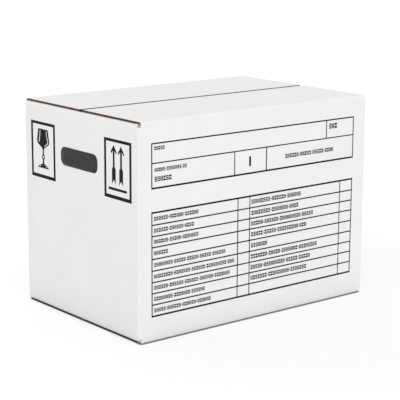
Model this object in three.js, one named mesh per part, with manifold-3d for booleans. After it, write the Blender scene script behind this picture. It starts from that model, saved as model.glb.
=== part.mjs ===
// A book moving box: a slotted carton of white corrugated board with its flaps folded shut.
// Millimetres, +Z up. The origin is under the middle of the base, X runs along the box and
// the front is the long side towards -Y. The bottom is glued, and the top isn't taped.

import * as THREE from 'three';
import { mergeVertices } from 'three/addons/utils/BufferGeometryUtils.js';
import Module from 'manifold-3d';

// The box, outside.
const boxLength = 500;
const boxWidth = 330;
const boxHeight = 360;

// The board: two liners glued to a wave of fluting.
const boardThickness = 4;
const linerThickness = 0.5;
const flutingThickness = 0.5;
const flutePitch = 7.9;
const fluteCrest = 1.4;

// Folds, slots and the gaps that let the flaps move.
const foldInnerRadius = 0.5;
const crushedWidth = 3;
const flapPlay = 0.5;
const creaseGap = 0.3;
const seamGap = 2;
const hingeFoldRadius = 3;
const lapIntoWalls = 4;
const arcSteps = 4;
const snapsPerMillimetre = 1024;

// How far each kind of flap reaches from the outside of its wall.
const outerFlapReach = (boxWidth - seamGap) / 2;
const innerFlapReach = 165;

// The glued joint at the rear right corner, inside the rear wall.
const glueTabWidth = 35;
const glueTabTaper = 6;
const jointSetback = 1.5;

// The hand holes, one through each end wall.
const handHoleWidth = 107;
const handHoleHeight = 32;
const handHoleCornerRadius = 12;
const handHoleDepthBelowTop = 83.4;

const halfLength = boxLength / 2;
const halfWidth = boxWidth / 2;
const foldOuterRadius = boardThickness + foldInnerRadius;
const slotHalfWidth = boardThickness + flapPlay;
const outerFlapUnderside = boxHeight - boardThickness;
const innerFlapTop = outerFlapUnderside - creaseGap;
const wallRingTop = innerFlapTop - foldOuterRadius;
const wallRingBottom = boardThickness + foldOuterRadius;
const handHoleHeightAboveBase = boxHeight - handHoleDepthBelowTop;

const whiteBoard = { color: 0xefefed, roughness: 0.8, metalness: 0 };

const wasm = await Module();
wasm.setup();

// Section planes. Each one turns a drawing in its own x and y, and its depth, into the box's axes.
const crossSection = new THREE.Matrix4().makeBasis(
  new THREE.Vector3(0, 1, 0),
  new THREE.Vector3(0, 0, 1),
  new THREE.Vector3(1, 0, 0),
);
const longSection = new THREE.Matrix4().makeBasis(
  new THREE.Vector3(1, 0, 0),
  new THREE.Vector3(0, 0, 1),
  new THREE.Vector3(0, -1, 0),
);
const plan = new THREE.Matrix4();

// Corners are snapped to a fine grid, so that faces which are meant to touch lie in one plane.
function solidFrom(geometry) {
  const bare = geometry.clone();
  bare.deleteAttribute('normal');
  bare.deleteAttribute('uv');
  const snapped = bare.attributes.position.array.map((value) => (
    Math.round(value * snapsPerMillimetre) / snapsPerMillimetre
  ));
  bare.setAttribute('position', new THREE.Float32BufferAttribute(snapped, 3));
  const merged = mergeVertices(bare, 1 / (4 * snapsPerMillimetre));
  return new wasm.Manifold(new wasm.Mesh({
    numProp: 3,
    vertProperties: new Float32Array(merged.attributes.position.array),
    triVerts: new Uint32Array(merged.index.array),
  }));
}

// A drawing given depth, centred on the plane that it is drawn in and then moved by offset.
function prism(shape, depth, section, offset = new THREE.Vector3()) {
  const geometry = new THREE.ExtrudeGeometry(shape, {
    depth,
    bevelEnabled: false,
    curveSegments: arcSteps,
  });
  geometry.translate(0, 0, -depth / 2);
  geometry.applyMatrix4(section);
  geometry.translate(offset.x, offset.y, offset.z);
  return solidFrom(geometry);
}

function block(low, high) {
  const size = new THREE.Vector3().subVectors(high, low);
  const geometry = new THREE.BoxGeometry(size.x, size.y, size.z);
  geometry.translate((low.x + high.x) / 2, (low.y + high.y) / 2, (low.z + high.z) / 2);
  return solidFrom(geometry);
}

function joined(solids) {
  return solids.reduce((sum, solid) => sum.add(solid));
}

// The open channels of a board, between its liners and the wave of fluting, as solids to cut away.
// They lie side by side between from and to, across the board whose lower face is at low, and run
// for length through the section plane. In a standing board the drawing is turned on its side.
function fluteCutter(from, to, low, length, section, standing = false) {
  const run = flutePitch / 2 - fluteCrest;
  const rise = boardThickness - 2 * linerThickness - flutingThickness;
  const slantOffset = (flutingThickness / 2) * Math.hypot(run, rise) / rise;
  const narrow = fluteCrest / 2 + (flutingThickness / 2) * run / rise - slantOffset;
  const wide = narrow + run;
  const count = Math.floor((to - from) / flutePitch - 0.5);
  const start = (from + to - count * flutePitch) / 2;
  const bottomLiner = low + linerThickness;
  const topLiner = low + boardThickness - linerThickness;
  const channels = [];
  for (let i = 0; i < 2 * count; i += 1) {
    const middle = start + (i + 0.5) * flutePitch / 2;
    const opensUp = i % 2 === 0;
    const wideSide = opensUp ? topLiner : bottomLiner;
    const narrowSide = opensUp ? bottomLiner + flutingThickness : topLiner - flutingThickness;
    const points = [
      [middle - wide, wideSide],
      [middle - narrow, narrowSide],
      [middle + narrow, narrowSide],
      [middle + wide, wideSide],
    ];
    const drawn = points.map(([along, across]) => (
      standing ? new THREE.Vector2(across, along) : new THREE.Vector2(along, across)
    ));
    channels.push(prism(new THREE.Shape(drawn), length, section));
  }
  return joined(channels);
}

// A wall that turns over its fold into a flap, drawn on the side where the wall's outside is at
// -half. The flap's outside is at face, and the wall ends at wallEnd.
function foldedBoard(half, wallEnd, face, reach) {
  const upward = Math.sign(face - wallEnd);
  const foldStart = face - upward * foldOuterRadius;
  const foldCentre = -half + foldOuterRadius;
  const flapInside = face - upward * boardThickness;
  const flapEnd = -half + reach;
  const shape = new THREE.Shape();
  shape.moveTo(-half + boardThickness, wallEnd);
  shape.lineTo(-half, wallEnd);
  shape.absarc(foldCentre, foldStart, foldOuterRadius, Math.PI, upward * Math.PI / 2, upward > 0);
  shape.lineTo(flapEnd, face);
  shape.lineTo(flapEnd, flapInside);
  shape.absarc(foldCentre, foldStart, foldInnerRadius, upward * Math.PI / 2, Math.PI, upward < 0);
  shape.closePath();
  return shape;
}

// A folded strip with its flutes open at both ends of the flap, crushed flat near the fold.
function fluted(strip, half, underside, reach, length, section) {
  const from = -half + foldOuterRadius + crushedWidth;
  return strip.subtract(fluteCutter(from, -half + reach, underside, length, section));
}

function roundedRectangle(width, height, radius) {
  const x = width / 2;
  const y = height / 2;
  const shape = new THREE.Shape();
  shape.absarc(x - radius, -y + radius, radius, -Math.PI / 2, 0);
  shape.absarc(x - radius, y - radius, radius, 0, Math.PI / 2);
  shape.absarc(-x + radius, y - radius, radius, Math.PI / 2, Math.PI);
  shape.absarc(-x + radius, -y + radius, radius, Math.PI, 3 * Math.PI / 2);
  shape.closePath();
  return shape;
}

// The four walls, folded round three corners and glued at the fourth, where the rear wall's cut
// end lies over the tab that is folded in from the right end wall.
function wallRing() {
  const ringHeight = wallRingTop - wallRingBottom;
  const middle = new THREE.Vector3(0, 0, (wallRingTop + wallRingBottom) / 2);
  const outline = roundedRectangle(boxLength, boxWidth, foldOuterRadius);
  const insideLength = boxLength - 2 * boardThickness;
  const insideWidth = boxWidth - 2 * boardThickness;
  outline.holes = [roundedRectangle(insideLength, insideWidth, foldInnerRadius)];
  const ring = prism(outline, ringHeight, plan, middle);

  const cornerSize = 4 * boardThickness;
  const corner = block(
    new THREE.Vector3(halfLength - cornerSize, halfWidth - cornerSize, wallRingBottom - cornerSize),
    new THREE.Vector3(halfLength + cornerSize, halfWidth + cornerSize, wallRingTop + cornerSize),
  );
  const rearWallEnd = block(
    new THREE.Vector3(halfLength - cornerSize, halfWidth - boardThickness, wallRingBottom),
    new THREE.Vector3(halfLength - jointSetback, halfWidth, wallRingTop),
  );
  const tabOutside = halfWidth - boardThickness;
  const tabFoldEnd = foldOuterRadius + boardThickness;
  const tabFold = prism(
    foldedBoard(halfLength, halfWidth - cornerSize, tabOutside, tabFoldEnd),
    ringHeight,
    plan,
    middle,
  ).mirror([1, 0, 0]);
  return joined([ring.subtract(corner), rearWallEnd, tabFold, glueTab()]);
}

// The glue tab behind the rear wall. Its ends taper, so that they stay clear of the inner flaps.
function glueTab() {
  const foldedSide = halfLength - foldOuterRadius - boardThickness;
  const freeSide = halfLength - glueTabWidth;
  const shape = new THREE.Shape([
    new THREE.Vector2(freeSide, wallRingBottom + glueTabTaper),
    new THREE.Vector2(foldedSide, wallRingBottom),
    new THREE.Vector2(foldedSide, wallRingTop),
    new THREE.Vector2(freeSide, wallRingTop - glueTabTaper),
  ]);
  const middle = new THREE.Vector3(0, halfWidth - 1.5 * boardThickness, 0);
  return prism(shape, boardThickness, longSection, middle);
}

// The strip of the front wall above the corner slots, up to the crease of the outer flap.
function frontWallTop() {
  return block(
    new THREE.Vector3(-halfLength + slotHalfWidth, -halfWidth, wallRingTop - lapIntoWalls),
    new THREE.Vector3(halfLength - slotHalfWidth, -halfWidth + boardThickness, innerFlapTop),
  );
}

function innerFlap(wallEnd, face, underside) {
  const length = boxWidth - 2 * slotHalfWidth;
  const strip = prism(foldedBoard(halfLength, wallEnd, face, innerFlapReach), length, longSection);
  return fluted(strip, halfLength, underside, innerFlapReach, length, longSection);
}

function outerBottomFlap() {
  const length = boxLength - 2 * slotHalfWidth;
  const wallEnd = wallRingBottom + lapIntoWalls;
  const strip = prism(foldedBoard(halfWidth, wallEnd, 0, outerFlapReach), length, crossSection);
  return fluted(strip, halfWidth, 0, outerFlapReach, length, crossSection);
}

// The hand holes, cut by one bar with rounded corners through both end walls.
function handHoleCutter() {
  const outline = roundedRectangle(handHoleWidth, handHoleHeight, handHoleCornerRadius);
  const offset = new THREE.Vector3(0, 0, handHoleHeightAboveBase);
  return prism(outline, boxLength + 2 * boardThickness, crossSection, offset);
}

// The flutes that the left hand hole cuts open. They run along the wall and end before its folds,
// one of which lies a board's thickness further in at the glued corner.
function handHoleFlutes() {
  const low = handHoleHeightAboveBase - handHoleHeight / 2;
  const high = handHoleHeightAboveBase + handHoleHeight / 2;
  const fluteLength = boxWidth - 2 * (boardThickness + foldOuterRadius + crushedWidth);
  return fluteCutter(low, high, -halfLength, fluteLength, longSection, true);
}

// The whole folded sheet, apart from the two flaps that open first.
function cartonBody() {
  const frontTop = frontWallTop();
  const innerTopUnderside = innerFlapTop - boardThickness;
  const innerTop = innerFlap(wallRingTop - lapIntoWalls, innerFlapTop, innerTopUnderside);
  const innerBottom = innerFlap(wallRingBottom + lapIntoWalls, boardThickness, boardThickness);
  const outerBottom = outerBottomFlap();
  const leftFlutes = handHoleFlutes();
  return joined([
    wallRing(),
    frontTop,
    frontTop.mirror([0, 1, 0]),
    innerTop,
    innerTop.mirror([1, 0, 0]),
    innerBottom,
    innerBottom.mirror([1, 0, 0]),
    outerBottom,
    outerBottom.mirror([0, 1, 0]),
  ])
    .subtract(leftFlutes)
    .subtract(leftFlutes.mirror([1, 0, 0]))
    .subtract(handHoleCutter());
}

// The front outer flap, lying shut. It turns on its crease, and its fold is rounded on the outside.
function frontTopFlap() {
  const foldEdge = -halfWidth;
  const freeEdge = foldEdge + outerFlapReach;
  const shape = new THREE.Shape();
  shape.moveTo(foldEdge, outerFlapUnderside);
  shape.lineTo(freeEdge, outerFlapUnderside);
  shape.lineTo(freeEdge, boxHeight);
  shape.absarc(
    foldEdge + hingeFoldRadius,
    boxHeight - hingeFoldRadius,
    hingeFoldRadius,
    Math.PI / 2,
    Math.PI,
  );
  shape.closePath();
  const length = boxLength - 2 * slotHalfWidth;
  const strip = prism(shape, length, crossSection);
  return fluted(strip, halfWidth, outerFlapUnderside, outerFlapReach, length, crossSection);
}

function boardMesh(name, solid) {
  const { numProp, vertProperties, triVerts } = solid.getMesh();
  const positions = [];
  for (let i = 0; i < vertProperties.length; i += numProp) {
    positions.push(vertProperties[i], vertProperties[i + 1], vertProperties[i + 2]);
  }
  const geometry = new THREE.BufferGeometry();
  geometry.setAttribute('position', new THREE.Float32BufferAttribute(positions, 3));
  geometry.setIndex(Array.from(triVerts));
  geometry.computeVertexNormals();
  const mesh = new THREE.Mesh(geometry, new THREE.MeshStandardMaterial(whiteBoard));
  mesh.name = name;
  return mesh;
}

const movingBox = new THREE.Group();
movingBox.add(boardMesh('carton_body', cartonBody()));
const frontFlap = frontTopFlap();
movingBox.add(boardMesh('front_top_flap', frontFlap));
movingBox.add(boardMesh('rear_top_flap', frontFlap.mirror([0, 1, 0])));

export default movingBox;
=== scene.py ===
# Looks of a book moving box: white corrugated board, shut flaps, black print.
# Everything is in metres and in the frame's own axes. Sizes in the dictionaries are in millimetres.
import math
import random

import bmesh
import bpy
from mathutils import Matrix, Vector


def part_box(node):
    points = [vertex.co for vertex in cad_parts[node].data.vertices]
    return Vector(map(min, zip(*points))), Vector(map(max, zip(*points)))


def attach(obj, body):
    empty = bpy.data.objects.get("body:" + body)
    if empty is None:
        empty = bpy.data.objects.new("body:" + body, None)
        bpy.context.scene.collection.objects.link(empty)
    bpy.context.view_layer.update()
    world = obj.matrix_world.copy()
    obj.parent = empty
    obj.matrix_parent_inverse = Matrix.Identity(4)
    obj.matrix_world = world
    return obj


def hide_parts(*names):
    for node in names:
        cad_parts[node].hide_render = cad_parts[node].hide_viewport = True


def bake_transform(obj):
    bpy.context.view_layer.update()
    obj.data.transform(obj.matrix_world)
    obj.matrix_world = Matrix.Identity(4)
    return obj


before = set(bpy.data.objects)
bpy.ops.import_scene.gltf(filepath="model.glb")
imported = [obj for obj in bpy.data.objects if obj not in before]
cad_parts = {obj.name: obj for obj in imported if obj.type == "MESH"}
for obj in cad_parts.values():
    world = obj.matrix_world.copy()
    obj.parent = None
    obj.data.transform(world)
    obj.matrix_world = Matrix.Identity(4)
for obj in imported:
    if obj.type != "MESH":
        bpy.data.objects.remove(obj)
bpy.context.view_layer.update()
mm = 0.001

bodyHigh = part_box("carton_body")[1]
flapLow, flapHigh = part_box("front_top_flap")
halfLength = bodyHigh.x / mm
halfWidth = bodyHigh.y / mm
boxTop = flapHigh.z / mm
bodyTop = bodyHigh.z / mm
flapUnderside = flapLow.z / mm
flapFreeEdge = flapHigh.y / mm
flapHalfLength = flapHigh.x / mm

board = {
    "thickness": boxTop - flapUnderside,
    "liner": 0.4,
    "fluting": 0.35,
    "flutePitch": 7.9,
    "foldRadius": 4.5,  # outside of the folds of the walls and the bottom
    "creaseRadius": 3.0,  # outside of the folds of the two flaps that open
    "foldMargin": 0.5,  # flat strip between such a fold and the fluted part of the flap
}
foldStart = -halfWidth + board["creaseRadius"] + board["foldMargin"]


def linear(hexColour):
    channels = [int(hexColour[i:i + 2], 16) / 255 for i in (1, 3, 5)]
    return [c / 12.92 if c <= 0.04045 else ((c + 0.055) / 1.055) ** 2.4 for c in channels] + [1]


def addNode(tree, kind, inputs=None, **settings):
    node = tree.nodes.new(kind)
    for name, value in settings.items():
        setattr(node, name, value)
    for socket, value in (inputs or {}).items():
        if isinstance(value, bpy.types.NodeSocket):
            tree.links.new(value, node.inputs[socket])
        else:
            node.inputs[socket].default_value = value
    return node


def newMaterial(name):
    material = bpy.data.materials.new(name)
    material.use_nodes = True
    shader = material.node_tree.nodes["Principled BSDF"]
    return material, material.node_tree, shader


print("materials")

linerLook = {
    "outside": ("#F0F0F0", "#ECECEC"),  # light and dark of its clouds
    "inside": ("#F4F4F3", "#F0F0EF"),
    "fibreSize": 1.2,
    "fibreDetail": 3.0,
    "cloudSize": 45,
    "cloudDetail": 2.0,
    "cloudFrom": 0.7,
    "cloudTo": 1.3,
    "washboardDepth": 0.035,
    "washboardStrength": 0.5,
    "fibreDepth": 0.02,
    "fibreStrength": 0.4,
    # painted shade at the foot of the folds, in this colour
    "paintedFootShade": "#33312F",
    "footShadeFull": 0.3,  # fully dark up to this height
    "footShadeHeight": 2.2,  # and unshaded from this one
    "roughness": 0.72,
    "ior": 1.45,
    "specular": 0.3,
}


def coatedLiner(name, light, dark):
    # White coated liner of corrugated board: matt, slightly cloudy, with faint ribs over the flutes.
    material, tree, shader = newMaterial(name)
    place = addNode(tree, "ShaderNodeTexCoord").outputs["Object"]
    fibre = addNode(tree, "ShaderNodeTexNoise", {
        "Vector": place, "Scale": 1 / (linerLook["fibreSize"] * mm), "Detail": linerLook["fibreDetail"],
    })
    cloud = addNode(tree, "ShaderNodeTexNoise", {
        "Vector": place, "Scale": 1 / (linerLook["cloudSize"] * mm), "Detail": linerLook["cloudDetail"],
    })
    both = addNode(tree, "ShaderNodeMath", {0: fibre.outputs["Fac"], 1: cloud.outputs["Fac"]},
                   operation="ADD")
    spread = addNode(tree, "ShaderNodeMapRange", {
        "Value": both.outputs[0], "From Min": linerLook["cloudFrom"], "From Max": linerLook["cloudTo"],
    })
    colour = addNode(tree, "ShaderNodeMix", {
        "Factor": spread.outputs[0], 6: linear(dark), 7: linear(light),
    }, data_type="RGBA")
    axes = addNode(tree, "ShaderNodeSeparateXYZ", {0: place})
    # Painted shade darkens the folds at the foot, fully dark at the bottom and fading out above.
    unshaded = addNode(tree, "ShaderNodeMapRange", {
        "Value": axes.outputs["Z"], "From Min": linerLook["footShadeFull"] * mm,
        "From Max": linerLook["footShadeHeight"] * mm,
    })
    paintedFootShade = addNode(tree, "ShaderNodeMix", {
        "Factor": unshaded.outputs[0], 6: linear(linerLook["paintedFootShade"]), 7: colour.outputs[2],
    }, data_type="RGBA")
    tree.links.new(paintedFootShade.outputs[2], shader.inputs["Base Color"])
    # The flutes lie level round the walls and along the long flaps, so ribs follow z or y.
    facing = addNode(tree, "ShaderNodeNewGeometry").outputs["Normal"]
    facingAxes = addNode(tree, "ShaderNodeSeparateXYZ", {0: facing})
    level = addNode(tree, "ShaderNodeMath", {0: facingAxes.outputs["Z"]}, operation="ABSOLUTE")
    across = addNode(tree, "ShaderNodeMix", {
        "Factor": level.outputs[0], 2: axes.outputs["Z"], 3: axes.outputs["Y"],
    }, data_type="FLOAT")
    phase = addNode(tree, "ShaderNodeMath", {
        0: across.outputs[0], 1: 2 * math.pi / (board["flutePitch"] * mm),
    }, operation="MULTIPLY")
    ribs = addNode(tree, "ShaderNodeMath", {0: phase.outputs[0]}, operation="SINE")
    ribBump = addNode(tree, "ShaderNodeBump", {
        "Strength": linerLook["washboardStrength"], "Distance": linerLook["washboardDepth"] * mm,
        "Height": ribs.outputs[0],
    })
    fibreBump = addNode(tree, "ShaderNodeBump", {
        "Strength": linerLook["fibreStrength"], "Distance": linerLook["fibreDepth"] * mm,
        "Height": fibre.outputs["Fac"], "Normal": ribBump.outputs[0],
    })
    tree.links.new(fibreBump.outputs[0], shader.inputs["Normal"])
    shader.inputs["Roughness"].default_value = linerLook["roughness"]
    shader.inputs["IOR"].default_value = linerLook["ior"]
    shader.inputs["Specular IOR Level"].default_value = linerLook["specular"]
    return material


kraftLook = {
    "dark": "#604838", "light": "#9A755E", "linerEdge": "#C4B8AD",
    "fibreSize": 0.9, "fibreDetail": 5.0, "fibreDepth": 0.1, "fibreStrength": 0.6, "roughness": 0.9,
}
# The foot and seam colours are painted shade on the raw edges; the corner colour is a pale tint.
edgeShadeAndTint = {
    "foot": "#5C5652", "footHeight": 2.8,  # grey along the foot, up to this height
    "seam": "#262322", "seamWidth": 4,  # dark where the two flaps meet
    "corner": "#DAD8D5", "cornerStart": 240,  # pale in the corners, from this far along
    "lowCorner": 9, "highCorner": 353.4, "cornerDepth": 10,
    "slack": 1, "hair": 0.1,  # added at the limits, so that points on them count as inside
}


def shadedAndTintedEdge(tree, place, colour):
    # Tints the raw edges to the look of the photograph: grey painted shade along the foot, dark painted shade
    # at the seam, and nearly as pale as the liner in the corners, just above the foot and just below the top.
    axes = addNode(tree, "ShaderNodeSeparateXYZ", {0: place}).outputs
    reach = {name: addNode(tree, "ShaderNodeMath", {0: axes[name]}, operation="ABSOLUTE").outputs[0]
             for name in ("X", "Y", "Z")}

    def within(axis, low, high):
        over = addNode(tree, "ShaderNodeMath", {0: reach[axis], 1: low * mm}, operation="GREATER_THAN")
        under = addNode(tree, "ShaderNodeMath", {0: reach[axis], 1: high * mm}, operation="LESS_THAN")
        return addNode(tree, "ShaderNodeMath", {0: over.outputs[0], 1: under.outputs[0]},
                       operation="MULTIPLY").outputs[0]

    def tinted(base, hexColour, a, b):
        where = addNode(tree, "ShaderNodeMath", {0: a, 1: b}, operation="MULTIPLY")
        return addNode(tree, "ShaderNodeMix", {
            "Factor": where.outputs[0], 6: base, 7: linear(hexColour),
        }, data_type="RGBA").outputs[2]

    edgeTints = edgeShadeAndTint
    slack = edgeTints["slack"]
    atFoot = within("Z", -slack, edgeTints["footHeight"])
    atSeam = within("Y", -slack, edgeTints["seamWidth"])
    inFlaps = within("Z", flapUnderside - edgeTints["hair"], boxTop + slack)
    atEnds = within("X", edgeTints["cornerStart"], halfLength + slack)
    low = within("Z", edgeTints["footHeight"], edgeTints["lowCorner"])
    high = within("Z", boxTop - edgeTints["cornerDepth"], edgeTints["highCorner"])
    # Painted shade along the foot and at the seam.
    colour = tinted(colour, edgeTints["foot"], atFoot, 1.0)
    colour = tinted(colour, edgeTints["seam"], atSeam, inFlaps)
    colour = tinted(colour, edgeTints["corner"], atEnds, low)
    return tinted(colour, edgeTints["corner"], atEnds, high)


def kraftPaper(name):
    # Rough uncoated brown paper with darker and lighter fibres. Its colour isn't linked yet.
    material, tree, shader = newMaterial(name)
    place = addNode(tree, "ShaderNodeTexCoord").outputs["Object"]
    fibre = addNode(tree, "ShaderNodeTexNoise", {
        "Vector": place, "Scale": 1 / (kraftLook["fibreSize"] * mm), "Detail": kraftLook["fibreDetail"],
    })
    colour = addNode(tree, "ShaderNodeMix", {
        "Factor": fibre.outputs["Fac"], 6: linear(kraftLook["dark"]), 7: linear(kraftLook["light"]),
    }, data_type="RGBA")
    bump = addNode(tree, "ShaderNodeBump", {
        "Strength": kraftLook["fibreStrength"], "Distance": kraftLook["fibreDepth"] * mm,
        "Height": fibre.outputs["Fac"],
    })
    tree.links.new(bump.outputs[0], shader.inputs["Normal"])
    shader.inputs["Roughness"].default_value = kraftLook["roughness"]
    return material, tree, shader, place, colour.outputs[2]


def kraftFluting():
    # Brown kraft fluting, seen at cut edges.
    material, tree, shader, place, paper = kraftPaper("kraftFluting")
    tree.links.new(shadedAndTintedEdge(tree, place, paper), shader.inputs["Base Color"])
    return material


def cutBoardEdge():
    # Cut corrugated board: the liners' edges either side of the darker fluting, told apart by how
    # deep each point lies below the outside of the board. Only the liners' faces are white.
    material, tree, shader, place, paper = kraftPaper("cutBoardEdge")
    depth = addNode(tree, "ShaderNodeAttribute", attribute_name="depth").outputs["Fac"]
    half = board["thickness"] / 2
    middle = addNode(tree, "ShaderNodeMath", {0: depth, 1: half}, operation="SUBTRACT")
    offMiddle = addNode(tree, "ShaderNodeMath", {0: middle.outputs[0]}, operation="ABSOLUTE")
    inLiner = addNode(tree, "ShaderNodeMath", {
        0: offMiddle.outputs[0], 1: half - board["liner"],
    }, operation="GREATER_THAN")
    colour = addNode(tree, "ShaderNodeMix", {
        "Factor": inLiner.outputs[0], 6: paper, 7: linear(kraftLook["linerEdge"]),
    }, data_type="RGBA")
    tree.links.new(shadedAndTintedEdge(tree, place, colour.outputs[2]), shader.inputs["Base Color"])
    return material


inkLook = {
    "black": "#161616", "pinhole": "#3C3C3C", "pinholeSize": 0.7, "pinholeDetail": 2.0,
    "pinholeFrom": 0.62, "pinholeTo": 0.8, "roughness": 0.75, "specular": 0.2,
}


def flexoInk():
    # Black flexo ink on the liner: matt, thin, with small pale pinholes where paper fibres show.
    material, tree, shader = newMaterial("flexoInk")
    place = addNode(tree, "ShaderNodeTexCoord").outputs["Object"]
    speckle = addNode(tree, "ShaderNodeTexNoise", {
        "Vector": place, "Scale": 1 / (inkLook["pinholeSize"] * mm), "Detail": inkLook["pinholeDetail"],
    })
    pinhole = addNode(tree, "ShaderNodeMapRange", {
        "Value": speckle.outputs["Fac"], "From Min": inkLook["pinholeFrom"],
        "From Max": inkLook["pinholeTo"],
    })
    colour = addNode(tree, "ShaderNodeMix", {
        "Factor": pinhole.outputs[0], 6: linear(inkLook["black"]), 7: linear(inkLook["pinhole"]),
    }, data_type="RGBA")
    tree.links.new(colour.outputs[2], shader.inputs["Base Color"])
    shader.inputs["Roughness"].default_value = inkLook["roughness"]
    shader.inputs["Specular IOR Level"].default_value = inkLook["specular"]
    return material


whiteLiner = coatedLiner("whiteLiner", *linerLook["outside"])
insideLiner = coatedLiner("insideLiner", *linerLook["inside"])
fluting = kraftFluting()
cutEdge = cutBoardEdge()
ink = flexoInk()
boardMaterials = [whiteLiner, insideLiner, fluting, cutEdge]
outsideIndex, insideIndex, flutingIndex, edgeIndex = range(4)

print("folded carton")

shell = {
    "weld": 0.002, "skin": 0.12,  # a face less than this from a liner's outside is that liner
    "foldPlay": 0.1, "heightPlay": 0.01,
}


def linkObject(name, mesh, materials):
    piece = bpy.data.objects.new(name, mesh)
    bpy.context.scene.collection.objects.link(piece)
    for material in materials:
        mesh.materials.append(material)
    return piece


def smoothByAngle(mesh, degrees=32):
    shape = bmesh.new()
    shape.from_mesh(mesh)
    for face in shape.faces:
        face.smooth = True
    for edge in shape.edges:
        edge.smooth = edge.is_manifold and edge.calc_face_angle(0) < math.radians(degrees)
    shape.to_mesh(mesh)
    shape.free()


def roundedDepth(a, b, radius):
    # Depth below a skin whose two faces are a and b away and whose edge is rounded.
    if a < radius and b < radius:
        return radius - math.hypot(radius - a, radius - b)
    return min(a, b)


def skinDepth(point):
    # How deep a point of the carton lies below the outside of the board it belongs to.
    radius = board["foldRadius"]
    fromEnd = halfLength - abs(point.x / mm)
    fromSide = halfWidth - abs(point.y / mm)
    height = point.z / mm
    depths = [roundedDepth(fromSide, height, radius), roundedDepth(fromEnd, fromSide, radius)]
    if fromSide > radius - shell["foldPlay"] and height > board["thickness"] + shell["heightPlay"]:
        innerFlapHeight = min(bodyTop - height, height - board["thickness"])
        depths.append(roundedDepth(fromEnd, innerFlapHeight, radius))
    return min(depths)


def cartonShell():
    # The folded sheet as cut, white outside and pale inside, with its layers seen at cut edges.
    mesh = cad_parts["carton_body"].data.copy()
    mesh.materials.clear()
    shape = bmesh.new()
    shape.from_mesh(mesh)
    bmesh.ops.remove_doubles(shape, verts=shape.verts, dist=shell["weld"] * mm)
    for face in shape.faces:
        depth = skinDepth(face.calc_center_median())
        if depth < shell["skin"]:
            face.material_index = outsideIndex
        elif depth > board["thickness"] - shell["skin"]:
            face.material_index = insideIndex
        else:
            face.material_index = edgeIndex
    shape.to_mesh(mesh)
    shape.free()
    depths = mesh.attributes.new("depth", "FLOAT", "POINT")
    depths.data.foreach_set("value", [skinDepth(vertex.co) for vertex in mesh.vertices])
    smoothByAngle(mesh)
    return linkObject("carton_shell", mesh, boardMaterials)


carton = cartonShell()
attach(carton, "carton")
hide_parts("carton_body")

print("flaps that open")

flap = {
    "stepsPerWave": 14.0, "linerCuts": 80, "foldSteps": 10,
    "waveEnd": 0.75,  # share of a wave that is left at the cut edge
    "upright": 0.5,  # faces whose normal has less of Z than this are edges
}


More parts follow.
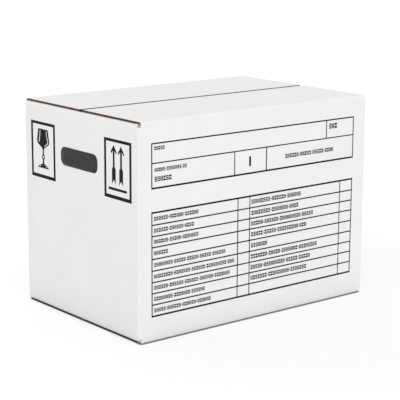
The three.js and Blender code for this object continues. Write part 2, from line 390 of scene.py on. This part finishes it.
def flutedBoardTree():
    # Two flat liners with a wave of fluting between them. The wave repeats across the width.
    tree = bpy.data.node_groups.new("flutedBoard", "GeometryNodeTree")
    for name in ("length", "width", "thickness", "liner", "fluting", "flutePitch"):
        tree.interface.new_socket(name, in_out="INPUT", socket_type="NodeSocketFloat")
    for name in ("outside", "inside", "wave"):
        tree.interface.new_socket(name, in_out="INPUT", socket_type="NodeSocketMaterial")
    tree.interface.new_socket("board", in_out="OUTPUT", socket_type="NodeSocketGeometry")
    given = addNode(tree, "NodeGroupInput").outputs

    def calc(operation, a, b=0.0):
        return addNode(tree, "ShaderNodeMath", {0: a, 1: b}, operation=operation).outputs[0]

    far = addNode(tree, "ShaderNodeCombineXYZ", {"Y": given["width"]})
    line = addNode(tree, "GeometryNodeCurvePrimitiveLine", {"End": far.outputs[0]})
    waves = calc("DIVIDE", given["width"], given["flutePitch"])
    count = calc("MULTIPLY", waves, flap["stepsPerWave"])
    points = addNode(tree, "GeometryNodeResampleCurve", {"Curve": line.outputs[0], "Count": count})
    position = addNode(tree, "GeometryNodeInputPosition")
    across = addNode(tree, "ShaderNodeSeparateXYZ", {0: position.outputs[0]})
    phase = calc("DIVIDE", calc("MULTIPLY", across.outputs["Y"], 2 * math.pi), given["flutePitch"])
    core = calc("SUBTRACT", given["thickness"], calc("MULTIPLY", given["liner"], 2.0))
    swing = calc("DIVIDE", calc("SUBTRACT", core, given["fluting"]), 2.0)
    lift = addNode(tree, "ShaderNodeCombineXYZ", {"Z": calc("MULTIPLY", calc("SINE", phase), swing)})
    wave = addNode(tree, "GeometryNodeSetPosition", {
        "Geometry": points.outputs[0], "Offset": lift.outputs[0],
    })
    upright = addNode(tree, "GeometryNodeSetCurveNormal", {"Curve": wave.outputs[0]}, mode="Z_UP")
    strip = addNode(tree, "GeometryNodeCurvePrimitiveQuadrilateral", {
        "Width": given["length"], "Height": given["fluting"],
    })
    sheet = addNode(tree, "GeometryNodeCurveToMesh", {
        "Curve": upright.outputs[0], "Profile Curve": strip.outputs[0], "Fill Caps": True,
    })
    marked = addNode(tree, "GeometryNodeStoreNamedAttribute", {
        "Geometry": sheet.outputs[0], "Name": "isWave", "Value": True,
    }, data_type="BOOLEAN", domain="FACE")
    parts = [marked.outputs[0]]
    linerSize = addNode(tree, "ShaderNodeCombineXYZ", {
        "X": given["length"], "Y": given["width"], "Z": given["liner"],
    })
    linerHeight = calc("DIVIDE", calc("SUBTRACT", given["thickness"], given["liner"]), 2.0)
    middle = calc("DIVIDE", given["width"], 2.0)
    for side, material in ((1.0, "outside"), (-1.0, "inside")):
        slab = addNode(tree, "GeometryNodeMeshCube", {
            "Size": linerSize.outputs[0], "Vertices Y": flap["linerCuts"],
        })
        spot = addNode(tree, "ShaderNodeCombineXYZ", {
            "Y": middle, "Z": calc("MULTIPLY", linerHeight, side),
        })
        placed = addNode(tree, "GeometryNodeTransform", {
            "Geometry": slab.outputs["Mesh"], "Translation": spot.outputs[0],
        })
        painted = addNode(tree, "GeometryNodeSetMaterial", {
            "Geometry": placed.outputs[0], "Material": given[material],
        })
        parts.append(painted.outputs[0])
    together = addNode(tree, "GeometryNodeJoinGeometry")
    for part in parts:
        tree.links.new(part, together.inputs[0])
    real = addNode(tree, "GeometryNodeRealizeInstances", {0: together.outputs[0]})
    isWave = addNode(tree, "GeometryNodeInputNamedAttribute", {"Name": "isWave"}, data_type="BOOLEAN")
    last = addNode(tree, "GeometryNodeSetMaterial", {
        "Geometry": real.outputs[0], "Selection": isWave.outputs[0], "Material": given["wave"],
    })
    addNode(tree, "NodeGroupOutput", {0: last.outputs[0]})
    return tree


def flutedBoardMesh(length, width):
    tree = flutedBoardTree()
    # The pitch is trued a little, so that the wave ends low at the cut edge and leaves it open.
    waves = round(width / board["flutePitch"] - flap["waveEnd"]) + flap["waveEnd"]
    holder = linkObject("flutedBoard", bpy.data.meshes.new("flutedBoard"), [])
    modifier = holder.modifiers.new("flutedBoard", "NODES")
    modifier.node_group = tree
    values = {
        "length": length * mm, "width": width * mm, "thickness": board["thickness"] * mm,
        "liner": board["liner"] * mm, "fluting": board["fluting"] * mm,
        "flutePitch": width / waves * mm,
        "outside": whiteLiner, "inside": insideLiner, "wave": fluting,
    }
    for socket in tree.interface.items_tree:
        if socket.name in values:
            modifier[socket.identifier] = values[socket.name]
    bpy.context.view_layer.update()
    evaluated = holder.evaluated_get(bpy.context.evaluated_depsgraph_get())
    mesh = bpy.data.meshes.new_from_object(evaluated)
    bpy.data.objects.remove(holder)
    order = [boardMaterials.index(m) if m else outsideIndex for m in mesh.materials]
    indices = [order[polygon.material_index] for polygon in mesh.polygons]
    mesh.materials.clear()
    for material in boardMaterials:
        mesh.materials.append(material)
    for i, polygon in enumerate(mesh.polygons):
        if indices[i] == flutingIndex:
            continue
        if abs(polygon.normal.z) < flap["upright"]:
            indices[i] = edgeIndex
        elif polygon.normal.z * polygon.center.z < 0:
            indices[i] = flutingIndex
    mesh.polygons.foreach_set("material_index", indices)
    return mesh


def prismMesh(name, profile, halfSpan, sideIndex, endIndex):
    # A closed profile of (y, z) points given length along X, with a material for sides and ends.
    shape = bmesh.new()
    ends = []
    for x in (-halfSpan, halfSpan):
        ends.append([shape.verts.new((x * mm, y * mm, z * mm)) for y, z in profile])
    for i in range(len(profile)):
        j = (i + 1) % len(profile)
        face = shape.faces.new((ends[0][i], ends[0][j], ends[1][j], ends[1][i]))
        face.material_index = sideIndex
    for end in ends:
        shape.faces.new(end).material_index = endIndex
    bmesh.ops.recalc_face_normals(shape, faces=shape.faces)
    mesh = bpy.data.meshes.new(name)
    shape.to_mesh(mesh)
    shape.free()
    return mesh


def arcPoints(centreY, centreZ, radius, startDegrees, endDegrees, steps):
    points = []
    for i in range(steps + 1):
        angle = math.radians(startDegrees + (endDegrees - startDegrees) * i / steps)
        points.append((centreY + radius * math.cos(angle), centreZ + radius * math.sin(angle)))
    return points


def frontFlapMesh(crush):
    width = flapFreeEdge - foldStart
    mesh = flutedBoardMesh(2 * flapHalfLength, width)
    centreHeight = (boxTop + flapUnderside) / 2
    mesh.transform(Matrix.Translation((0, foldStart * mm, centreHeight * mm)))
    # The free edge is pressed down, more than a knife would, so that the seam reads dark.
    for vertex in mesh.vertices:
        near = 1 - min((flapFreeEdge - vertex.co.y / mm) / crushed["width"], 1)
        share = (vertex.co.z / mm - flapUnderside) / board["thickness"]
        vertex.co.z -= crush * near * near * share * mm
    radius = board["creaseRadius"]
    crest = arcPoints(-halfWidth + radius, boxTop - radius, radius, 90, 180, flap["foldSteps"])
    profile = [(foldStart, flapUnderside), (foldStart, boxTop)] + crest + [(-halfWidth, flapUnderside)]
    fold = prismMesh("fold", profile, flapHalfLength, outsideIndex, flutingIndex)
    shape = bmesh.new()
    shape.from_mesh(mesh)
    shape.from_mesh(fold)
    shape.to_mesh(mesh)
    shape.free()
    bpy.data.meshes.remove(fold)
    return mesh


def flapPiece(name, node, body, turn, crush):
    mesh = frontFlapMesh(crush)
    mesh.transform(turn)
    smoothByAngle(mesh)
    piece = linkObject(name, mesh, [])
    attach(piece, body)
    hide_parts(node)


# How far each flap's free edge is pressed down, over this width. Only the front one is.
crushed = {"width": 6, "front": 2.6, "rear": 0.0}
halfTurn = Matrix.Rotation(math.pi, 4, "Z")
sides = (
    ("front", "front_flap", Matrix.Identity(4)),
    ("rear", "rear_flap", halfTurn),
)
for side, body, turn in sides:
    flapPiece(side + "_flap_board", side + "_top_flap", body, turn, crushed[side])

print("creases")

crease = {
    "paper": 0.18, "inside": 0.12,  # how thick the two liners are drawn
    "proud": 0.05, "reach": 7, "bend": 2.5,  # the blend spans the bend on either side of the fold
    "insideGap": 0.2, "underGap": 0.02,
    "wallSteps": 14, "arcSteps": 12, "flapSteps": 6, "insideSteps": 8, "smoothDegrees": 50,
}


def sheetProfile(points, thickness):
    # A path of (y, z) points with a thickness to its left, as a closed profile.
    other = []
    for i, (y, z) in enumerate(points):
        before = points[max(i - 1, 0)]
        after = points[min(i + 1, len(points) - 1)]
        along = Vector((after[0] - before[0], after[1] - before[1])).normalized()
        other.append((y - along.y * thickness, z + along.x * thickness))
    return points + other[::-1]


def evenLine(start, end, steps):
    return [(start[0] + (end[0] - start[0]) * i / steps, start[1] + (end[1] - start[1]) * i / steps)
            for i in range(steps)]


def creasePaper(side, turn):
    # The outside liner runs unbroken from the wall over the fold onto the flap, curved round the fold.
    radius = board["creaseRadius"]
    skin = -halfWidth - crease["proud"]
    arc = arcPoints(-halfWidth + radius, boxTop - radius, radius + crease["proud"], 180, 90,
                    crease["arcSteps"])
    low = (skin, boxTop - radius - crease["reach"])
    high = (-halfWidth + radius + crease["reach"], boxTop + crease["proud"])
    wallPart = evenLine(low, arc[0], crease["wallSteps"])
    flapPart = evenLine(arc[-1], high, crease["flapSteps"])[1:]
    path = wallPart + arc + flapPart + [high]
    profile = sheetProfile(path, -crease["paper"])
    outer = prismMesh(side + "_crease_outside", profile, flapHalfLength, outsideIndex, outsideIndex)
    outer.transform(turn)
    smoothByAngle(outer, crease["smoothDegrees"])
    piece = linkObject(side + "_crease_outside", outer, boardMaterials)
    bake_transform(piece)

    # The inside liner creases in the corner under the flap.
    wallInside = -halfWidth + board["thickness"]
    along = wallInside + crease["insideGap"]
    under = flapUnderside - crease["underGap"]
    bottom = (along, flapUnderside - crease["reach"])
    corner = (along, under)
    tip = (wallInside + crease["reach"], under)
    steps = crease["insideSteps"]
    path = evenLine(bottom, corner, steps) + evenLine(corner, tip, steps) + [tip]
    profile = sheetProfile(path, -crease["inside"])
    inner = prismMesh(side + "_crease_inside", profile, flapHalfLength, insideIndex, insideIndex)
    inner.transform(turn)
    piece = linkObject(side + "_crease_inside", inner, boardMaterials)
    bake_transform(piece)


for side, body, turn in sides:
    creasePaper(side, turn)

print("print")

inkFilm = {"thickness": 0.08, "sink": 0.03, "weld": 0.001}


def rectangle(left, top, right, bottom):
    return [(left, top), (right, top), (right, bottom), (left, bottom)]


def inkPiece(name, outlines, panel):
    # Flat shapes of ink. Outlines are in millimetres from the panel's top left, y down, and a
    # shape inside another is left bare, as in even-odd filling.
    curve = bpy.data.curves.new(name, "CURVE")
    curve.dimensions = "2D"
    curve.fill_mode = "BOTH"
    curve.extrude = inkFilm["thickness"] * mm / 2
    for outline in outlines:
        spline = curve.splines.new("POLY")
        spline.points.add(len(outline) - 1)
        spline.use_cyclic_u = True
        for point, (x, y) in zip(spline.points, outline):
            point.co = (x * mm, -y * mm, 0, 1)
    holder = linkObject(name, curve, [])
    bpy.context.view_layer.update()
    evaluated = holder.evaluated_get(bpy.context.evaluated_depsgraph_get())
    mesh = bpy.data.meshes.new_from_object(evaluated)
    bpy.data.objects.remove(holder)
    mesh.transform(panel)
    shape = bmesh.new()
    shape.from_mesh(mesh)
    bmesh.ops.remove_doubles(shape, verts=shape.verts, dist=inkFilm["weld"] * mm)
    bmesh.ops.recalc_face_normals(shape, faces=shape.faces)
    shape.to_mesh(mesh)
    shape.free()
    mesh.materials.clear()
    piece = linkObject(name, mesh, [ink])
    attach(piece, "carton")


def panelMatrix(corner, right, outward):
    up = Vector((0, 0, 1))
    lift = (inkFilm["thickness"] / 2 - inkFilm["sink"]) * mm
    place = Vector(corner) * mm + Vector(outward) * lift
    matrix = Matrix((Vector(right), up, Vector(outward))).transposed().to_4x4()
    matrix.translation = place
    return matrix


frontPanel = panelMatrix((-halfLength, -halfWidth, boxTop), (1, 0, 0), (0, -1, 0))
leftPanel = panelMatrix((-halfLength, halfWidth, boxTop), (0, -1, 0), (-1, 0, 0))
rightPanel = panelMatrix((halfLength, -halfWidth, boxTop), (0, 1, 0), (1, 0, 0))


def ruledTable(left, right, rows, columns):
    # A ruled table as one outline with a hole for each cell. rows, left and right are lines with
    # a place and a weight, and columns has the upright lines inside each row.
    edge = (left[0] - left[1] / 2, right[0] + right[1] / 2)
    top = rows[0][0] - rows[0][1] / 2
    bottom = rows[-1][0] + rows[-1][1] / 2
    outlines = [rectangle(edge[0], top, edge[1], bottom)]
    for upper, lower, inside in zip(rows, rows[1:], columns):
        lines = [left] + inside + [right]
        for a, b in zip(lines, lines[1:]):
            outlines.append(rectangle(a[0] + a[1] / 2, upper[0] + upper[1] / 2,
                                      b[0] - b[1] / 2, lower[0] - lower[1] / 2))
    return outlines


# Small plain block marks. The numbers are shares of a mark's height.
markShares = {
    "stroke": 0.25, "width": 0.62, "pairBar": 0.41, "tripleBar": 0.26, "pitch": 0.74, "room": 0.6,
    "dashRoom": 1.5, "dashDrop": 0.42, "dashWidth": 0.3, "dashHeight": 0.22, "dashPitch": 0.44,
}
marksInGroup = (5, 9)


def blockMark(x, top, markHeight, kind):
    # One block mark: two uprights, or two or three level bars.
    stroke = markHeight * markShares["stroke"]
    width = markHeight * markShares["width"]
    bottom = top + markHeight
    if kind == "uprights":
        return [rectangle(x, top, x + stroke, bottom),
                rectangle(x + width - stroke, top, x + width, bottom)]
    count = 2 if kind == "pair" else 3
    height = markHeight * markShares["pairBar" if kind == "pair" else "tripleBar"]
    step = (markHeight - height) / (count - 1)
    return [rectangle(x, top + i * step, x + width, top + i * step + height) for i in range(count)]


def markLine(left, right, top, markHeight, seed):
    # A line of block marks, in groups with a short dash between them.
    dice = random.Random(seed)
    outlines = []
    x = left
    marksLeft = dice.randint(*marksInGroup)
    while x + markHeight * markShares["room"] <= right:
        kind = dice.choice(("uprights", "pair", "triple"))
        outlines += blockMark(x, top, markHeight, kind)
        x += markHeight * markShares["pitch"]
        marksLeft -= 1
        if marksLeft == 0 and x + markHeight * markShares["dashRoom"] < right:
            dashTop = top + markHeight * markShares["dashDrop"]
            dashRight = x + markHeight * markShares["dashWidth"]
            outlines.append(rectangle(x, dashTop, dashRight, dashTop + markHeight * markShares["dashHeight"]))
            x += markHeight * markShares["dashPitch"]
            marksLeft = dice.randint(*marksInGroup)
    return outlines


# The two ruled tables, in millimetres from the top left of the front. Each line has a weight.
tableEdges = {"left": (25.6, 2.1), "right": (468.6, 2.1)}
headTable = {
    "rows": [(36.0, 2.3), (67.5, 2.0), (107.5, 3.0)],
    "columns": [[(403.6, 2.0)], [(195.9, 1.9), (265.7, 2.2)]],
}
listTable = {
    "rows": [(146.8, 3.0)] + [(v, 2.2) for v in (166.9, 185.3, 203.3, 222.6, 241.9, 260.9, 279.2, 298.1)]
            + [(317.1, 3.0)],
    "columns": [[(204.1, 2.0), (230.2, 1.9), (439.3, 1.9)]] * 9,
}
headLines = [  # left, right, top, height of the marks
    (30.2, 54.0, 40.8, 5.8), (409.6, 429.9, 42.3, 9), (31.1, 98.1, 75.4, 5.8),
    (31.1, 70.3, 89.2, 7.8), (308.3, 423.2, 84.3, 7),
]
listLines = [  # left, height of the marks, first seed, and where the line ends in each row
    (29.8, 6.4, 20, [121.6, 112.6, 121.6, 61.2, 180.2, 200.7, 187.6, 136.1, 149.3]),
    (233.7, 7.2, 40, [349.4, 340.3, 377.1, 362.4, 272.3, 386.1, 371.8, 366.8]),
]
tallBar = (227.3, 78.9, 231.5, 95.6)  # left, top, right, bottom


def frontPrint():
    outlines = []
    for table in (headTable, listTable):
        outlines += ruledTable(tableEdges["left"], tableEdges["right"], table["rows"], table["columns"])
    for seed, (left, right, top, markHeight) in enumerate(headLines):
        outlines += markLine(left, right, top, markHeight, seed)
    rows = [row[0] for row in listTable["rows"]]
    for i in range(len(rows) - 1):
        middle = (rows[i] + rows[i + 1]) / 2
        for left, markHeight, seed, ends in listLines:
            if i < len(ends):
                outlines += markLine(left, ends[i], middle - markHeight / 2, markHeight, seed + i)
    outlines.append(rectangle(*tallBar))
    return outlines


markFrame = {"top": 34.7, "bottom": 131.7, "sides": 5.6, "topBar": 4.9, "bottomBar": 5.9,
             "glassLeft": 20.3, "arrowLeft": 237.4, "width": 74.0}
goblet = {
    "knobRadius": 4.6, "knobHeight": 94.9, "knobDegrees": range(27, 154, 13),
    "holeHalfWidth": 2.3, "holeHalfHeight": 1.8, "holeSteps": 20,
}
arrows = {"middles": (26.3, 46.2), "barLeft": 11.8, "barRight": 61.3, "barTop": 113.5, "barBottom": 117.8}


def markBorder(left):
    f = markFrame
    right = left + f["width"]
    return [rectangle(left, f["top"], right, f["bottom"]),
            rectangle(left + f["sides"], f["top"] + f["topBar"], right - f["sides"],
                      f["bottom"] - f["bottomBar"])]


def brushStroke(points):
    # A line through (x, y, width) points that swells and thins, as one closed outline.
    sides = ([], [])
    for i, (x, y, width) in enumerate(points):
        before = points[max(i - 1, 0)]
        after = points[min(i + 1, len(points) - 1)]
        along = Vector((after[0] - before[0], after[1] - before[1])).normalized()
        sides[0].append((x - along.y * width / 2, y + along.x * width / 2))
        sides[1].append((x + along.y * width / 2, y - along.x * width / 2))
    return sides[0] + sides[1][::-1]


def gobletMark():
    # A common stemmed glass, the handling mark for fragile goods.
    middle = markFrame["glassLeft"] + markFrame["width"] / 2
    bowl = [(15.1, 46.8), (16.2, 53.8), (17.7, 60.7), (18.9, 66), (18.9, 69.7), (16.7, 72.6), (10.8, 75.9),
            (4.9, 78.7), (2.4, 81.2), (1.9, 84.7)]
    radius, height = goblet["knobRadius"], goblet["knobHeight"]
    knob = [(radius * math.sin(a), height - radius * math.cos(a))
            for a in [math.radians(degrees) for degrees in goblet["knobDegrees"]]]
    foot = [(1.9, 101.7), (2.4, 105.2), (4.1, 107.7), (9.3, 108.8), (13.6, 110.9), (17.3, 114.3)]
    right = bowl + knob + foot
    outline = [(middle + x, y) for x, y in right] + [(middle - x, y) for x, y in right[::-1]]
    strokes = [
        [(-9.2, 49.3, 1.6), (-9.8, 55.7, 2), (-11, 62.7, 2.2), (-12.6, 69.7, 2.2)],
        [(10, 49.5, 1.6), (10.7, 55.7, 1.9), (12.6, 62.7, 2), (14.5, 67.5, 2), (13.7, 70.1, 1.9),
         (8.8, 73.4, 1.6), (2.9, 77.3, 1)],
        [(-11.8, 112, 1), (-9.7, 110.9, 1.4), (-7.5, 110.6, 1)],
        [(6.9, 110.8, 1), (8.7, 111.4, 1.4), (11, 111.2, 1)],
    ]
    shines = [[(middle + x, y) for x, y in brushStroke(stroke)] for stroke in strokes]
    turns = [2 * math.pi * i / goblet["holeSteps"] for i in range(goblet["holeSteps"])]
    knobHole = [(middle + goblet["holeHalfWidth"] * math.cos(a),
                 height + goblet["holeHalfHeight"] * math.sin(a)) for a in turns]
    return markBorder(markFrame["glassLeft"]) + [outline, knobHole] + shines


def arrowMark():
    # Two upright arrows over a bar, the common handling mark for this side up.
    left = markFrame["arrowLeft"]
    outlines = markBorder(left)
    half = [(0, 44.2), (8.4, 56), (6.6, 59), (2.4, 53.5), (2.4, 79.5), (5.1, 83.5),
            (5.1, 108.4), (0, 100.5)]
    for middle in [left + x for x in arrows["middles"]]:
        outlines.append([(middle + x, y) for x, y in half]
                        + [(middle - x, y) for x, y in half[-2:0:-1]])
    outlines.append(rectangle(left + arrows["barLeft"], arrows["barTop"],
                              left + arrows["barRight"], arrows["barBottom"]))
    return outlines


inkPiece("front_print", frontPrint(), frontPanel)
inkPiece("left_end_marks", gobletMark() + arrowMark(), leftPanel)
inkPiece("right_end_marks", gobletMark() + arrowMark(), rightPanel)

print("floor, light and camera")

floorLook = {
    "white": 0.9, "near": 50, "nearPower": 0.85,  # what the floor sends back to the box
    "share": 0.36, "glow": 0.7, "contact": 4, "contactPower": 4,  # what the camera sees
    # the shadow entries draw a painted soft shadow on the floor round the box
    "shadowDim": 0.9, "shadowCentre": (150, -150), "shadowFrom": 300, "shadowTo": 850, "size": 30000, "samples": 16,
}


def nearShade(tree, reach, strength):
    # 1 on the open floor, falling towards 0 right beside whatever stands on it.
    shade = addNode(tree, "ShaderNodeAmbientOcclusion", {"Distance": reach * mm},
                    samples=floorLook["samples"])
    return addNode(tree, "ShaderNodeMath", {0: shade.outputs["AO"], 1: strength}, operation="POWER")


def whiteFloor():
    mesh = bpy.data.meshes.new("floor")
    s = floorLook["size"] * mm / 2
    mesh.from_pydata([(-s, -s, 0), (s, -s, 0), (s, s, 0), (-s, s, 0)], [], [(0, 1, 2, 3)])
    material = bpy.data.materials.new("floorPaper")
    material.use_nodes = True
    tree = material.node_tree
    tree.nodes.clear()
    # To the camera the floor is part glow and part matt white, so that only its shadow shows.
    white = addNode(tree, "ShaderNodeMath", {
        0: nearShade(tree, floorLook["near"], floorLook["nearPower"]).outputs[0], 1: floorLook["white"],
    }, operation="MULTIPLY")
    matt = addNode(tree, "ShaderNodeBsdfDiffuse", {"Color": white.outputs[0]})
    contact = nearShade(tree, floorLook["contact"], floorLook["contactPower"]).outputs[0]
    # The glow fades a little round the box, a painted soft shadow, as the paper does in the photograph.
    place = addNode(tree, "ShaderNodeTexCoord").outputs["Object"]
    centre = [v * mm for v in floorLook["shadowCentre"]] + [0]
    away = addNode(tree, "ShaderNodeVectorMath", {0: place, 1: centre}, operation="DISTANCE")
    paintedShadow = addNode(tree, "ShaderNodeMapRange", {
        "Value": away.outputs["Value"], "From Min": floorLook["shadowFrom"] * mm,
        "From Max": floorLook["shadowTo"] * mm, "To Min": floorLook["shadowDim"],
    }, interpolation_type="SMOOTHSTEP")
    glowing = addNode(tree, "ShaderNodeMath", {0: contact, 1: paintedShadow.outputs[0]}, operation="MULTIPLY")
    share = floorLook["share"]
    seen = addNode(tree, "ShaderNodeBsdfDiffuse", {"Color": (share, share, share, 1)})
    glow = addNode(tree, "ShaderNodeEmission", {
        "Color": glowing.outputs[0], "Strength": floorLook["glow"],
    })
    both = addNode(tree, "ShaderNodeAddShader", {0: seen.outputs[0], 1: glow.outputs[0]})
    path = addNode(tree, "ShaderNodeLightPath")
    mix = addNode(tree, "ShaderNodeMixShader", {
        0: path.outputs["Is Camera Ray"], 1: matt.outputs[0], 2: both.outputs[0],
    })
    addNode(tree, "ShaderNodeOutputMaterial", {"Surface": mix.outputs[0]})
    floor = linkObject("floor", mesh, [material])


lighting = {"sky": 0.87, "keyStrength": 0.66, "keyAngle": 60, "keyTowards": (0.42, 0.73, -0.54)}


def studioLight():
    world = bpy.data.worlds.new("studio")
    bpy.context.scene.world = world
    world.use_nodes = True
    tree = world.node_tree
    tree.nodes.clear()
    sky = addNode(tree, "ShaderNodeBackground", {"Color": (1, 1, 1, 1), "Strength": lighting["sky"]})
    white = addNode(tree, "ShaderNodeBackground", {"Color": (1, 1, 1, 1), "Strength": 1.0})
    path = addNode(tree, "ShaderNodeLightPath")
    mix = addNode(tree, "ShaderNodeMixShader", {
        0: path.outputs["Is Camera Ray"], 1: sky.outputs[0], 2: white.outputs[0],
    })
    addNode(tree, "ShaderNodeOutputWorld", {"Surface": mix.outputs[0]})
    sun = bpy.data.lights.new("key", "SUN")
    sun.energy = lighting["keyStrength"]
    sun.angle = math.radians(lighting["keyAngle"])
    key = bpy.data.objects.new("key", sun)
    bpy.context.scene.collection.objects.link(key)
    key.rotation_euler = Vector(lighting["keyTowards"]).to_track_quat("-Z", "Y").to_euler()


view = {"azimuth": -39.014, "elevation": 12.503, "roll": 0.294, "place": (-1502.6, -1862.9, 705.9),
        "focalPixels": 1384.4, "imagePixels": 400, "sensor": 36, "farthest": 100000}
lightBounces = 24


def photoCamera():
    azimuth, elevation, roll = (math.radians(view[k]) for k in ("azimuth", "elevation", "roll"))
    back = Vector((math.sin(azimuth) * math.cos(elevation), -math.cos(azimuth) * math.cos(elevation),
                   math.sin(elevation)))
    right = Vector((math.cos(azimuth), math.sin(azimuth), 0))
    up = back.cross(right)
    rolledRight = math.cos(roll) * right + math.sin(roll) * up
    rolledUp = math.cos(roll) * up - math.sin(roll) * right
    data = bpy.data.cameras.new("camera")
    data.sensor_width = view["sensor"]
    data.lens = view["sensor"] * view["focalPixels"] / view["imagePixels"]
    data.clip_end = view["farthest"] * mm
    camera = bpy.data.objects.new("camera", data)
    bpy.context.scene.collection.objects.link(camera)
    matrix = Matrix((rolledRight, rolledUp, back)).transposed().to_4x4()
    matrix.translation = Vector(view["place"]) * mm
    camera.matrix_world = matrix
    bpy.context.scene.camera = camera


whiteFloor()
studioLight()
photoCamera()
bpy.context.scene.view_settings.view_transform = "Standard"
bpy.context.scene.cycles.max_bounces = lightBounces
bpy.context.scene.cycles.diffuse_bounces = lightBounces

print("done")
